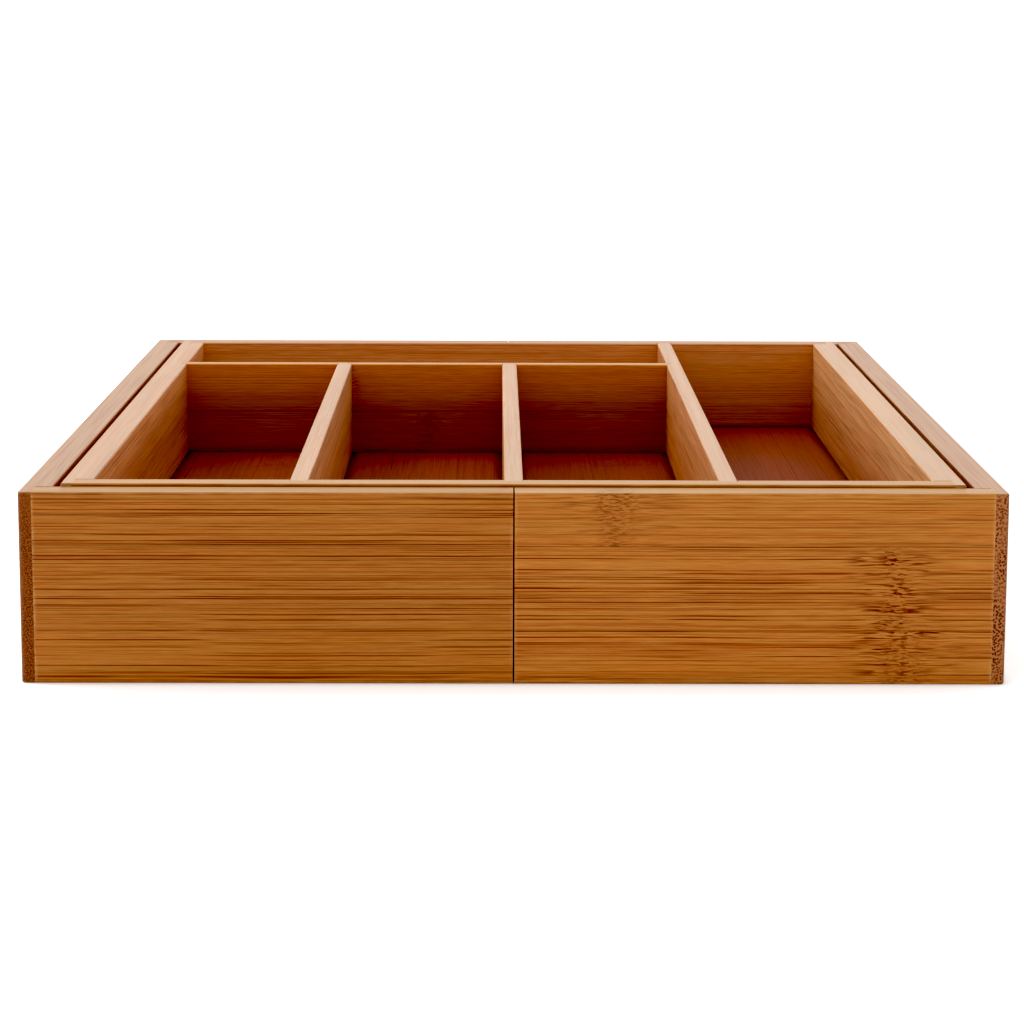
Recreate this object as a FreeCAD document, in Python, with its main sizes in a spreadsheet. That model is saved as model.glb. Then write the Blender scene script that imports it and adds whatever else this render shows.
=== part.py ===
"""Extending bamboo cutlery tray: a divided centre tray in two half trays, which slide apart sideways.

Millimetres. +X is to the right, +Y to the back and +Z up. The origin is on the ground, in the middle of
the closed tray. Every board is drawn in a frame of its own: x along its length, y from its outer face to
its inner face, and z up from its lower edge. Its Placement then turns it to its side of the tray.
"""

import FreeCAD, Part
import os
import Sketcher

# Driving sizes, in millimetres.
SIZES = {
    "tray_depth": 342,
    "outer_height": 51,
    "compartment_width": 52,
    "rear_compartment": 57,
    "divider_thick": 5,
    "outer_side_thick": 8,
    "outer_front_thick": 9,
    "outer_lip": 3.6,
    "centre_side_thick": 8,
    "centre_front_thick": 7,
    "centre_lip": 3,
    "centre_proud": 0.8,
    "side_gap": 2,
    "seam_gap": 0.4,
    "slide_gap": 0.3,
    "rest_gap": 0.2,
    "outer_floor_lift": 7,
    "outer_floor_thick": 4,
    "outer_groove_depth": 4,
    "centre_floor_lift": 6,
    "centre_floor_thick": 4,
    "centre_groove_depth": 3.5,
    "panel_play": 0.2,
    "dado_depth": 2,
    "divider_dado_depth": 1.5,
    "overlap": 39.3,
    "key_length": 16,
    "key_height": 5,
    "key_lift": 34,
    "key_margin": 6,
    "key_reach": 2.2,
    "key_play": 0.2,
    "key_mortise_depth": 3,
    "stop_groove_depth": 2.5,
    "corner_round": 1.5,
    "edge_round": 0.5,
    "overrun": 1,
}

# Compartments across the centre tray, and those of them that end at the cross divider.
COMPARTMENTS = 4
SHORT_COMPARTMENTS = 3
DIVIDERS = COMPARTMENTS - 1
SHORT_DIVIDERS = SHORT_COMPARTMENTS - 1

# Sizes that follow from the driving ones.
LAYOUT = {
    "pitch": "size.compartment_width + size.divider_thick",
    "centre_width": f"{COMPARTMENTS} * pitch - size.divider_thick + 2 * size.centre_side_thick",
    "centre_depth": "size.tray_depth - 2 * size.outer_front_thick - 2 * size.slide_gap",
    "centre_bottom": "size.outer_floor_lift + size.outer_floor_thick + size.rest_gap",
    "centre_height": "size.outer_height + size.centre_proud - centre_bottom",
    "centre_board_length": "centre_width - 2 * size.centre_lip",
    "floor_top": "size.centre_floor_lift + size.centre_floor_thick",
    "divider_height": "centre_height - floor_top",
    "inside_width": "centre_width - 2 * size.centre_side_thick",
    "inside_depth": "centre_depth - 2 * size.centre_front_thick",
    "short_depth": "inside_depth - size.rear_compartment - size.divider_thick",
    "outer_width": "centre_width + 2 * size.side_gap + 2 * size.outer_side_thick",
    "half_board_length": "outer_width / 2 - size.outer_lip - size.seam_gap / 2",
    "centre_floor_bite": "size.centre_groove_depth - size.panel_play",
    "outer_floor_bite": "size.outer_groove_depth - size.panel_play",
    "outer_floor_side": "outer_width / 2 - size.outer_side_thick + outer_floor_bite",
    "outer_floor_width": "size.tray_depth - 2 * size.outer_front_thick + 2 * outer_floor_bite",
    "key_start": "size.seam_gap / 2 + size.key_margin",
    "key_depth": "size.key_mortise_depth + size.slide_gap + size.key_reach",
    "key_bottom": "size.key_lift - size.key_height / 2",
    "key_top": "size.key_lift + size.key_height / 2",
    "travel": "centre_width / 2 - size.seam_gap / 2 - size.overlap",
    "stop_groove_half": "key_start + size.key_length + travel + size.key_play",
}

# The floor grooves of the two kinds of tray: height of the lower side, width and depth.
CENTRE_GROOVE = ("size.centre_floor_lift", "size.centre_floor_thick", "size.centre_groove_depth")
OUTER_GROOVE = ("size.outer_floor_lift", "size.outer_floor_thick", "size.outer_groove_depth")

# Turns about +Z that bring a board's outer face to each side of the tray.
FRONT, RIGHT, BACK, LEFT = 0, 90, 180, 270

# Points of a sketch line, and the sketch's own origin, as Sketcher numbers them.
START, END = 1, 2
ORIGIN = -1

# How near two lengths count as the same when edges are picked.
SAME = 1e-4

doc = FreeCAD.newDocument("cutlery_tray")
bodies = []


def fill_sheet(name, cells):
    """Makes a spreadsheet with one named cell for each entry."""
    sheet = doc.addObject("Spreadsheet::Sheet", name)
    for row, (alias, content) in enumerate(cells.items(), start=1):
        sheet.set(f"A{row}", alias)
        sheet.set(f"B{row}", str(content))
        sheet.setAlias(f"B{row}", alias)
    doc.recompute()
    return sheet


size = fill_sheet("size", SIZES)
fill_sheet("lay", {alias: f"={formula}" for alias, formula in LAYOUT.items()})


def value(expression):
    """The number that an expression on the sheets gives."""
    return float(size.evalExpression(expression))


def start_body(label):
    """A new piece, named as its file will be."""
    body = doc.addObject("PartDesign::Body", label)
    body.Label = label
    bodies.append(body)
    return body


def start_sketch(body, name, plane):
    """A sketch on one of the body's own planes."""
    sketch = body.newObject("Sketcher::SketchObject", f"{body.Label}_{name}_sketch")
    support = next(item for item in body.Origin.OriginFeatures if item.Role == plane)
    sketch.AttachmentSupport = [(support, "")]
    sketch.MapMode = "FlatFace"
    return sketch


def draw(sketch, points):
    """Draws a closed outline with each corner held at a pair of expressions."""
    corners = [FreeCAD.Vector(value(u), value(v), 0) for u, v in points]
    first = sketch.GeometryCount
    lines = [first + i for i in range(len(corners))]
    for here, there in zip(corners, corners[1:] + corners[:1]):
        sketch.addGeometry(Part.LineSegment(here, there))
    for line, following, corner, point in zip(lines, lines[1:] + lines[:1], corners, points):
        sketch.addConstraint(Sketcher.Constraint("Coincident", line, END, following, START))
        for kind, distance, expression in zip(("DistanceX", "DistanceY"), corner, point):
            held = Sketcher.Constraint(kind, ORIGIN, START, line, START, distance)
            number = sketch.addConstraint(held)
            sketch.renameConstraint(number, f"{kind}_{line}")
            sketch.setExpression(f"Constraints.{kind}_{line}", expression)


def rectangle(low_u, high_u, low_v, high_v):
    """The corners of a rectangle, as pairs of expressions."""
    return [(low_u, low_v), (high_u, low_v), (high_u, high_v), (low_u, high_v)]


def pad(label, plane, points, length):
    """Starts a piece by raising an outline on one of its planes."""
    body = start_body(label)
    sketch = start_sketch(body, "outline", plane)
    draw(sketch, points)
    feature = body.newObject("PartDesign::Pad", f"{label}_stock")
    feature.Profile = sketch
    feature.setExpression("Length", length)
    doc.recompute()
    return body


def plain_board(label, length, thickness, height):
    """A board of plain rectangular section."""
    return pad(label, "YZ_Plane", rectangle("0", thickness, "0", height), length)


def grooved_board(label, length, thickness, height, groove):
    """A board with a groove for a floor panel along its inner face."""
    lift, width, depth = groove
    groove_back = f"{thickness} - {depth}"
    groove_top = f"{lift} + {width}"
    section = [
        ("0", "0"),
        (thickness, "0"),
        (thickness, lift),
        (groove_back, lift),
        (groove_back, groove_top),
        (thickness, groove_top),
        (thickness, height),
        ("0", height),
    ]
    return pad(label, "YZ_Plane", section, length)


def pocket(body, name, rectangles, depth, inner_face=None):
    """Cuts rectangles into a board's inner face, at that thickness, or into its outer face."""
    before = body.Shape.Volume
    sketch = start_sketch(body, name, "XZ_Plane")
    if inner_face:
        sketch.setExpression("AttachmentOffset.Base.z", f"-{inner_face}")
    for points in rectangles:
        draw(sketch, points)
    cut = body.newObject("PartDesign::Pocket", f"{body.Label}_{name}")
    cut.Profile = sketch
    cut.Reversed = bool(inner_face)
    cut.setExpression("Length", depth)
    doc.recompute()
    if before - cut.Shape.Volume < SAME:
        raise RuntimeError(f"{name} takes nothing off {body.Label}")


def cut_rabbets(body, length, height, thickness, lip, seat):
    """Cuts both ends of a side wall's inner face back to a lip, to seat the boards that meet it."""
    low, high = "-size.overrun", f"{height} + size.overrun"
    near = rectangle(low, seat, low, high)
    far = rectangle(f"{length} - {seat}", f"{length} + size.overrun", low, high)
    pocket(body, "rabbets", [near, far], f"{thickness} - {lip}", thickness)


def edge_on(x=None, y=None, z=None):
    """A test for edges whose two ends both lie at the given expressions."""
    wanted = [(axis, value(place)) for axis, place in enumerate((x, y, z)) if place is not None]

    def fits(edge):
        ends = [vertex.Point for vertex in edge.Vertexes]
        return all(abs(end[axis] - place) < SAME for end in ends for axis, place in wanted)

    return fits


def round_edges(body, name, radius, *tests):
    """Rounds every edge of the piece so far that passes one of the tests."""
    base = body.Tip
    edges = enumerate(base.Shape.Edges, start=1)
    fillet = body.newObject("PartDesign::Fillet", f"{body.Label}_{name}")
    fillet.Base = (base, [f"Edge{i}" for i, edge in edges if any(test(edge) for test in tests)])
    fillet.setExpression("Radius", radius)
    doc.recompute()


def ease_top(body, thickness, height, *more_tests):
    """Eases both long top edges of a board, and any others that pass a test."""
    tops = (edge_on(y="0", z=height), edge_on(y=thickness, z=height))
    round_edges(body, "eased", "size.edge_round", *tops, *more_tests)


def place(body, turn, x, y, z):
    """Turns a piece about +Z and moves it to a point of the tray."""
    body.Placement.Rotation = FreeCAD.Rotation(FreeCAD.Vector(0, 0, 1), turn)
    for axis, expression in zip("xyz", (x, y, z)):
        body.setExpression(f"Placement.Base.{axis}", expression)


def divider_dados(first, count, low, height):
    """Rectangles for a row of dividers, from the near side of the first and up through the top edge."""
    starts = [f"{first} + {i} * lay.pitch" for i in range(count)]
    top = f"{height} + size.overrun"
    return [rectangle(start, f"{start} + size.divider_thick", low, top) for start in starts]


# The centre tray.
def centre_end_board(label, turn, dividers):
    """The centre tray's front or back board, with the dividers' dados and the stop keys' groove."""
    thickness, height, length = "size.centre_front_thick", "lay.centre_height", "lay.centre_board_length"
    body = grooved_board(label, length, thickness, height, CENTRE_GROOVE)
    first = "size.centre_side_thick - size.centre_lip + size.compartment_width"
    dados = divider_dados(first, dividers, "lay.floor_top", height)
    pocket(body, "dados", dados, "size.dado_depth", thickness)
    groove = rectangle(
        f"{length} / 2 - lay.stop_groove_half",
        f"{length} / 2 + lay.stop_groove_half",
        "lay.key_bottom - size.key_play - lay.centre_bottom",
        "lay.key_top + size.key_play - lay.centre_bottom",
    )
    pocket(body, "stop_groove", [groove], "size.stop_groove_depth")
    ease_top(body, thickness, height)
    side = -1 if turn == FRONT else 1
    place(body, turn, f"{side} * {length} / 2", f"{side} * lay.centre_depth / 2", "lay.centre_bottom")


def centre_side_wall(label, turn, dividers):
    """The centre tray's left or right wall, whose lips cover the ends of its front and back boards."""
    thickness, height, length = "size.centre_side_thick", "lay.centre_height", "lay.centre_depth"
    body = grooved_board(label, length, thickness, height, CENTRE_GROOVE)
    cut_rabbets(body, length, height, thickness, "size.centre_lip", "size.centre_front_thick")
    if dividers:
        first = "size.centre_front_thick + size.rear_compartment"
        dados = divider_dados(first, dividers, "lay.floor_top", height)
        pocket(body, "dados", dados, "size.dado_depth", thickness)
    ease_top(body, thickness, height, edge_on(x="0", y="0"), edge_on(x=length, y="0"))
    side = -1 if turn == LEFT else 1
    place(body, turn, f"{side} * lay.centre_width / 2", f"{-side} * {length} / 2", "lay.centre_bottom")


def centre_floor(label):
    """The centre tray's floor, held in the grooves of its four boards."""
    width = "lay.inside_width + 2 * lay.centre_floor_bite"
    depth = "lay.inside_depth + 2 * lay.centre_floor_bite"
    body = pad(label, "XY_Plane", rectangle("0", width, "0", depth), "size.centre_floor_thick")
    lift = "lay.centre_bottom + size.centre_floor_lift"
    place(body, FRONT, f"-({width}) / 2", f"-({depth}) / 2", lift)


def long_way_divider(label, number, length, cross_dividers):
    """The divider at that number from the left, running backwards from the front board."""
    thickness, height = "size.divider_thick", "lay.divider_height"
    body = plain_board(label, length, thickness, height)
    if cross_dividers:
        first = "size.dado_depth + lay.short_depth"
        dados = divider_dados(first, cross_dividers, "-size.overrun", height)
        pocket(body, "dados", dados, "size.divider_dado_depth", thickness)
    ease_top(body, thickness, height)
    x = f"-lay.inside_width / 2 + {number} * lay.pitch"
    y = "-lay.inside_depth / 2 - size.dado_depth"
    place(body, RIGHT, x, y, "lay.centre_bottom + lay.floor_top")


def cross_divider(label):
    """The divider across the back of the short compartments."""
    thickness, height = "size.divider_thick", "lay.divider_height"
    clear = f"{SHORT_COMPARTMENTS} * lay.pitch - size.divider_thick"
    body = plain_board(label, f"size.dado_depth + {clear} + size.divider_dado_depth", thickness, height)
    first = "size.dado_depth + size.compartment_width"
    dados = divider_dados(first, SHORT_DIVIDERS, "-size.overrun", height)
    pocket(body, "dados", dados, "size.divider_dado_depth")
    ease_top(body, thickness, height)
    x = "-lay.inside_width / 2 - size.dado_depth"
    y = "-lay.inside_depth / 2 + lay.short_depth"
    place(body, FRONT, x, y, "lay.centre_bottom + lay.floor_top")


# The half trays that slide apart. Turned half round about +Z, one is the other.
def half_tray_side(label, turn):
    """A half tray's side wall, whose lips show as strips of end grain at the front and back."""
    thickness, height, length = "size.outer_side_thick", "size.outer_height", "size.tray_depth"
    body = grooved_board(label, length, thickness, height, OUTER_GROOVE)
    cut_rabbets(body, length, height, thickness, "size.outer_lip", "size.outer_front_thick")
    round_edges(body, "corners", "size.corner_round", edge_on(x="0", y="0"), edge_on(x=length, y="0"))
    ease_top(body, thickness, height, edge_on(y="0", z="0"))
    side = -1 if turn == LEFT else 1
    place(body, turn, f"{side} * lay.outer_width / 2", f"{-side} * {length} / 2", "0")


def half_tray_end(label, turn, seam_first):
    """A half-width front or back board, with the seam at the start or the end of its length."""
    thickness, height, length = "size.outer_front_thick", "size.outer_height", "lay.half_board_length"
    body = grooved_board(label, length, thickness, height, OUTER_GROOVE)
    start = "size.key_margin" if seam_first else f"{length} - size.key_margin - size.key_length"
    mortise = rectangle(start, f"{start} + size.key_length", "lay.key_bottom", "lay.key_top")
    pocket(body, "key_mortise", [mortise], "size.key_mortise_depth", thickness)
    ease_top(body, thickness, height, edge_on(y="0", z="0"))
    side = -1 if turn == FRONT else 1
    seam_x = f"{-side} * size.seam_gap / 2"
    corner_x = f"{side} * (lay.outer_width / 2 - size.outer_lip)"
    place(body, turn, seam_x if seam_first else corner_x, f"{side} * size.tray_depth / 2", "0")


def half_tray_floor(label, turn):
    """A half tray's floor, held in the grooves of its three boards and free at the seam."""
    thickness, width, length = "size.outer_floor_thick", "lay.outer_floor_width", "lay.outer_floor_side"
    seam = f"{length} - size.seam_gap / 2"
    body = pad(label, "XY_Plane", rectangle("0", seam, "0", width), thickness)
    round_edges(body, "eased", "size.edge_round", edge_on(x=seam, z=thickness))
    side = -1 if turn == FRONT else 1
    place(body, turn, f"{side} * {length}", f"{side} * {width} / 2", "size.outer_floor_lift")


def stop_key(label, turn, seam_first):
    """The key in a half-width board that runs in the stop groove, so that the halves can't be pulled off."""
    length, depth, height = "size.key_length", "lay.key_depth", "size.key_height"
    body = plain_board(label, length, depth, height)
    round_edges(body, "eased", "size.edge_round", edge_on(x="0", y=depth), edge_on(x=length, y=depth))
    side = -1 if turn == FRONT else 1
    x = f"{-side} * lay.key_start" if seam_first else f"{side} * (lay.key_start + {length})"
    y = f"{side} * (size.tray_depth / 2 - size.outer_front_thick + size.key_mortise_depth)"
    place(body, turn, x, y, "lay.key_bottom")


centre_end_board("centre_front_board", FRONT, DIVIDERS)
centre_end_board("centre_back_board", BACK, DIVIDERS - SHORT_DIVIDERS)
centre_side_wall("centre_left_wall", LEFT, 1)
centre_side_wall("centre_right_wall", RIGHT, 0)
centre_floor("centre_floor")

SHORT_LENGTH = "size.dado_depth + lay.short_depth + size.divider_dado_depth"
FULL_LENGTH = "lay.inside_depth + 2 * size.dado_depth"
long_way_divider("left_divider", 1, SHORT_LENGTH, 0)
long_way_divider("middle_divider", 2, SHORT_LENGTH, 0)
long_way_divider("right_divider", DIVIDERS, FULL_LENGTH, 1)
cross_divider("rear_cross_divider")

half_tray_side("left_tray_side", LEFT)
half_tray_side("right_tray_side", RIGHT)
half_tray_floor("left_tray_floor", FRONT)
half_tray_floor("right_tray_floor", BACK)

# Seen from outside, the seam is at the far end of the left front board and of the right back board.
half_tray_end("left_tray_front", FRONT, False)
half_tray_end("right_tray_front", FRONT, True)
half_tray_end("left_tray_back", BACK, True)
half_tray_end("right_tray_back", BACK, False)
stop_key("left_front_stop_key", FRONT, False)
stop_key("right_front_stop_key", FRONT, True)
stop_key("left_back_stop_key", BACK, True)
stop_key("right_back_stop_key", BACK, False)

doc.recompute()
failed = [item.Label for item in doc.Objects if {"Invalid", "Error"} & set(item.State)]
failed += [body.Label for body in bodies if body.Shape.isNull() or not body.Shape.isValid()]
if failed:
    raise RuntimeError(f"these did not build: {failed}")

os.makedirs("parts", exist_ok=True)
for body in bodies:
    body.Shape.exportStep(f"parts/{body.Label}.step")
print(f"closed width {value('lay.outer_width'):.1f}, travel of each half tray {value('lay.travel'):.1f}")
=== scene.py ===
"""Looks of the extending bamboo cutlery tray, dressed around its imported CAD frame."""
import logging
import math
from dataclasses import dataclass
from enum import Enum

import bpy
from mathutils import Euler, Matrix, Vector


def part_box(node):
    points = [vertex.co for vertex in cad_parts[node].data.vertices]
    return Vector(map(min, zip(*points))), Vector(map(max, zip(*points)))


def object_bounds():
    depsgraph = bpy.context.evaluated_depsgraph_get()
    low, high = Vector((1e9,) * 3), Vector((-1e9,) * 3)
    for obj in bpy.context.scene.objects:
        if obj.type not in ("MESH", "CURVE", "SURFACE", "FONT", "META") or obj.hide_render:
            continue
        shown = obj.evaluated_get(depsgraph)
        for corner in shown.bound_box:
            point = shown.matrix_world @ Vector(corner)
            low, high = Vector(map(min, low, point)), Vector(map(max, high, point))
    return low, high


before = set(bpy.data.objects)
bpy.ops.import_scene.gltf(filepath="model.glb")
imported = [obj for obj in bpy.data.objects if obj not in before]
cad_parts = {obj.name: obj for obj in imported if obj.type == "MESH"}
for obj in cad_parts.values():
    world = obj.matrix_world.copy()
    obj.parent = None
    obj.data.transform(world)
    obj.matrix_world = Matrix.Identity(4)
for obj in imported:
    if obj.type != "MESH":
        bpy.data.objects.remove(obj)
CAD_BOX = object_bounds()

LOG = logging.getLogger("cutlery_tray")
MM_PER_METRE = 1000.0
METRES_PER_MM = 0.001
FAR = 1000.0

Colour = tuple[float, float, float]
Socket = bpy.types.NodeSocket
Feed = float | Socket
Paint = Colour | Socket
Shares = tuple[tuple[int, float], ...]


class Grain(Enum):
    """How a board's cane strips lie: the axes along the fibres, across the face and through the board."""

    SIDEWAYS = ("X", "Z", "Y")
    LENGTHWAYS = ("Y", "Z", "X")
    FLAT = ("Y", "X", "Z")


class Half(Enum):
    """The two sliding halves, named for the side that they slide to."""

    LEFT = "left"
    RIGHT = "right"


# What is left of the ground's green and blue where it turns red
RUDDY_GREEN = 0.91
RUDDY_BLUE = 0.86


@dataclass(frozen=True)
class Tone:
    """The three colours of a piece of caramelised bamboo, in linear light.

    Attributes:
        honey: The ground between the fibres.
        streak: The finer strands, and the wood beside the long fibre bundles.
        deep: The bundles themselves, and the knuckles.
    """

    honey: Colour
    streak: Colour
    deep: Colour

    @property
    def ruddy(self) -> Colour:
        """The ground where it turns from ochre to red."""
        red, green, blue = self.honey
        return red, green * RUDDY_GREEN, blue * RUDDY_BLUE

    def lit(self, share: float) -> "Tone":
        """The same tone, all of it lighter or darker by a share."""
        colours = (self.honey, self.streak, self.deep)
        return Tone(*(tuple(part * share for part in colour) for colour in colours))


FRONT_TONE = Tone((0.370, 0.140, 0.028), (0.240, 0.049, 0.007), (0.105, 0.009, 0.002))
LEFT_TONE = Tone((0.355, 0.133, 0.026), (0.222, 0.043, 0.005), (0.101, 0.008, 0.002))
BACK_TONE = Tone((0.620, 0.250, 0.088), (0.490, 0.147, 0.039), (0.290, 0.065, 0.014))
# The two walls' tones differ partly as painted light: the right wall, whose inner face looks towards the
# lamp on the left, is paler and pinker with painted sheen
LEFT_WALL_TONE = Tone((0.630, 0.270, 0.100), (0.410, 0.130, 0.034), (0.200, 0.042, 0.009))
RIGHT_WALL_TONE = Tone((0.550, 0.285, 0.122), (0.410, 0.172, 0.060), (0.215, 0.064, 0.019))
DIVIDER_TONE = Tone((0.510, 0.228, 0.092), (0.380, 0.138, 0.046), (0.200, 0.053, 0.015))
DARK_TONE = Tone((0.540, 0.176, 0.031), (0.410, 0.106, 0.013), (0.225, 0.039, 0.004))
# The centre floor's tone is darkened with painted shade, as if deep in its compartments
SHADED_FLOOR_TONE = Tone((0.212, 0.043, 0.007), (0.172, 0.031, 0.004), (0.115, 0.017, 0.002))
HALF_FLOOR_TONE = Tone((0.255, 0.067, 0.011), (0.203, 0.043, 0.006), (0.122, 0.017, 0.002))
LEFT_END = (0.225, 0.060, 0.010)
RIGHT_END = (0.350, 0.125, 0.040)
RIM_END = (0.440, 0.230, 0.100)
END_PORE = (0.085, 0.010, 0.002)
# Colours that the narrow edges fade to: their own paler colour together with a painted sheen of the light
# from above
STRAW = (0.375, 0.242, 0.140)
OUTER_STRAW = (0.366, 0.214, 0.109)
OCHRE = (0.390, 0.220, 0.064)
# OCHRE darkened with painted shade, for the back boards' edges
SHADED_OCHRE = (0.275, 0.140, 0.054)
GLUE = (0.560, 0.320, 0.130)
# The near-black of the painted contact shadow where boards meet a floor, over the dark joint there
SHADOW_AND_JOINT = (0.030, 0.004, 0.001)

# Fibre bundles and finer strands to a millimetre of the cane's cross-section
BUNDLE_DENSITY = 1.95
STRAND_DENSITY = 2.6

# Steps: where each one starts and ends, then its levels before and after
END_FACING = (0.6, 0.8)
EDGE_FACING = (0.5, 0.9)
BACK_FACING = (0.3, 0.7)
FLANK_FACING = (0.35, 0.90)
KNUCKLE_CORE = (1.0, 5.0, 1.0, 0.0)
KNUCKLE_SKIRT = (2.0, 16.0, 1.0, 0.0)
BUNDLE_WEIGHT = (0.10, 0.72, 0.25, 1.0)
BUNDLE_CORE = (0.17, 0.36, 1.0, 0.0)
BUNDLE_HALO = (0.32, 0.72, 1.0, 0.0)
STRAND_WEIGHT = (0.2, 0.8, 0.2, 1.0)
STRAND_CORE = (0.18, 0.40, 1.0, 0.0)
DASH_CUT = (0.49, 0.58)
CHIP_CUT = (0.48, 0.58)
FLECK_CUT = (0.47, 0.62)
SPECK_CUT = (0.42, 0.60)
PATCH_STRENGTH = (0.34, 0.60, 0.45, 1.2)
TINT_TURN = (0.40, 0.60)
JOINT_WIDTH = (0.15, 0.55, 1.0, 0.0)
PORE_CORE = (0.28, 0.50, 1.0, 0.0)
PORE_CROWD = (0.36, 0.60)
# Painted contact shadow along a board's foot, and round the boards that stand on a floor
FOOT_SHADOW = (0.0, 1.6, 0.55, 0.0)
CORNER_SHADOW = (0.0, 4.0, 0.8, 0.0)
ARRIS_WIDTH = (0.15, 1.1, 1.0, 0.0)
RUB_CUT = (0.34, 0.66)

# Shares of one colour over another
PALE_ON_EDGE = 0.8
HALO_SHARE = 0.20
FLECK_SHARE = 0.36
JOINT_SHARE = 0.28
WORN_SHARE = 0.22
KNOT_SHARE = 0.10
KNOT_CHIP_SHARE = 0.30
SPARSE_PORE_SHARE = 0.60

# What a narrow edge or a knuckle takes away
STRAND_EDGE_LOSS = 0.76
BUNDLE_EDGE_LOSS = 0.75
FUZZ_EDGE_LOSS = 0.65
KNOT_LOSS = 0.15

# The light that bands and short fibres vary about, and how far the strips differ in it
MEAN_LIGHT = 1.02
STRIP_SPREAD = 0.10

# How far the short fibres change red, green and blue
FUZZ_SHARES = (0.6, 1.0, 1.3)

# How much rougher the short fibres, the bundles and the worn arrises are
HAIR_ROUGHNESS = 0.10
BUNDLE_ROUGHNESS = 0.10
WORN_ROUGHNESS = 0.08

# The oil's index of refraction, and what is left of its gloss on a face that looks sideways
OIL_INDEX = 1.42
FLANK_GLOSS = 0.3

# Shifts that give each strip and each board a cane of its own, in millimetres
STRIP_SHIFT = 41.7
SEED_SHIFT = 13.1
SEED_RUN = 71.0

# Widths of a glue line and of its dark middle, and depth of the relief, in millimetres, and its strength
GLUE_WIDTHS = (0.35, 0.10)
RELIEF_DEPTH = 0.14
RELIEF_STRENGTH = 0.5

# Heights of the relief
STREAK_RELIEF = -0.6
HAIR_RELIEF = 0.5
FINE_RELIEF = -0.35
GLUE_RELIEF = -0.6


@dataclass(frozen=True)
class DepthShade:
    """Painted shade: how a board's colour darkens from its rim down to the floor that it stands on, where
    less light reaches.

    Attributes:
        low: The height where it is deepest, in millimetres.
        high: The height where it starts.
        tint: What is left of the colour at its deepest.
    """

    low: float
    high: float
    tint: Colour


@dataclass(frozen=True)
class Knuckle:
    """A ring of the cane, where its fibres knot together across one strip of a board.

    Attributes:
        strip: The strip's number, counted from the board's first glue line.
        along: The knuckle's place along the fibres, in millimetres.
        spread: How wide it is, against a plain one.
    """

    strip: int
    along: float
    spread: float = 1.0


@dataclass(frozen=True)
class Pattern:
    """A noise that is drawn out along the fibres.

    Attributes:
        along: How many of its waves lie on a millimetre along the fibres.
        across: How many lie on a millimetre across them.
        offset: What sets it apart from the other patterns.
        detail: How many finer layers it has.
        twist: How far it is distorted.
    """

    along: float
    across: float
    offset: float
    detail: float = 1.0
    twist: float = 0.0


@dataclass(frozen=True)
class Wave:
    """A noise of one scale all round, which moves the fibres or rubs the arrises.

    Attributes:
        scale: How many of its waves lie on a millimetre.
        offset: What sets it apart from the other waves.
        reach: How far it moves a fibre, in millimetres. The drift's is shared out over a streak's length.
        detail: How many finer layers it has.
    """

    scale: float
    offset: float
    reach: float = 0.0
    detail: float = 2.0


PATCHES = Pattern(0.022, 0.45, 61.0)
TINTS = Pattern(0.020, 0.60, 113.0)
DASHES = Pattern(0.12, 2.4, 71.0)
CHIPS = Pattern(0.45, 2.3, 83.0, 2.0, 0.3)
FLECKS = Pattern(0.016, 2.0, 101.0)
SPECKS = Pattern(1.4, 1.1, 97.0, 2.0)
SWAY = Wave(0.013, 0.0, 1.1)
RIPPLE = Wave(0.13, 5.0, 0.8, 1.0)
DRIFT = Wave(0.016, 3.0, 140.0)
BEND = Wave(0.09, 9.0, 9.0)
RUB = Wave(0.14, 21.0, detail=3.0)

# Short fibres, broad bands and crowds of pores: how many lie on a millimetre, and what sets them apart
HAIR_DENSITY, HAIR_OFFSET = 3.8, 43.0
BAND_DENSITY, BAND_OFFSET = 0.22, 3.0
CROWD_DENSITY, CROWD_OFFSET = (0.09, 0.3, 0.0), 2.0


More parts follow.
